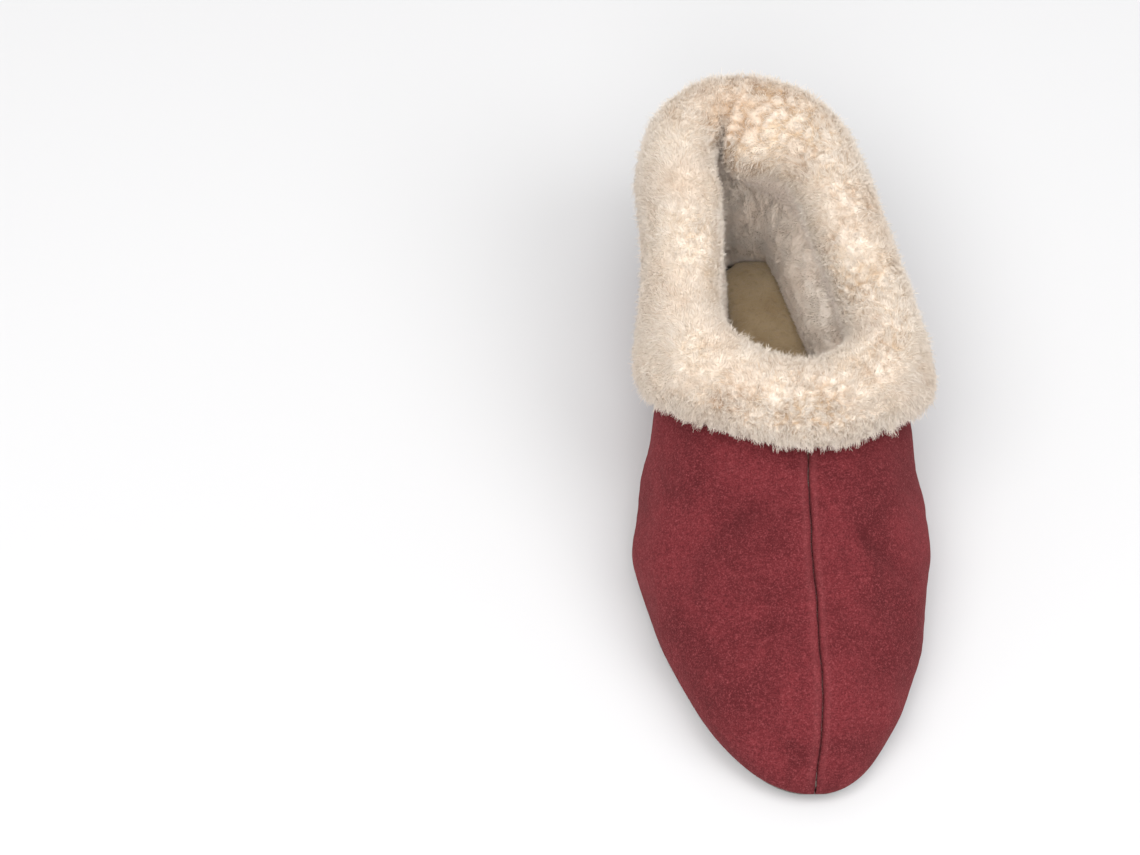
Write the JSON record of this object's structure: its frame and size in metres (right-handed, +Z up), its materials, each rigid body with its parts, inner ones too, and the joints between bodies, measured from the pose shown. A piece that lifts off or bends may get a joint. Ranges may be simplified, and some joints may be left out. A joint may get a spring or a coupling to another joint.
{
  "type": "moccasin slipper",
  "caption": "Right-foot soft-soled moccasin slipper: red suede upper with a centre seam, shorn lambskin lining, turned-down cream fleece collar and a thin grey suede sole.",
  "frame": {"origin": "centre of the slipper's box in plan, at the floor under the sole", "axes": "+Z up from the sole, -Y to the toe, +X to the big-toe side of this right-foot slipper"},
  "size_m": [0.1124, 0.2676, 0.0998],
  "materials": {
    "red_suede": "burgundy suede, short brushed nap, mottled",
    "sole_suede": "grey split suede, matt",
    "collar_fleece": "thick cream lambswool with tan tips, curly locks",
    "shorn_wool": "short shorn off-white lambswool",
    "hide": "undyed skin side of lambskin, matt",
    "foam": "soft open-cell foam",
    "fibre_board": "thin flexible fibre board",
    "tape": "woven cotton seam tape",
    "red_thread": "dark red sewing thread",
    "grey_thread": "grey sewing thread",
    "cream_thread": "cream sewing thread"
  },
  "bodies": {
    "root": {"outsole": "sole_suede", "midsole_foam": "foam", "insole_board": "fibre_board", "footbed_hide": "hide", "footbed_wool": "shorn_wool", "upper_lateral": "red_suede", "upper_medial": "red_suede", "lining_lateral": "shorn_wool", "lining_medial": "shorn_wool", "collar_hide": "hide", "collar_wool": "collar_fleece", "heel_tape": "tape", "vamp_seam_thread": "red_thread", "heel_seam_thread": "red_thread", "sole_seam_thread": "grey_thread", "collar_seam_thread": "cream_thread", "collar_join_thread": "cream_thread"}
  },
  "joints": []
}
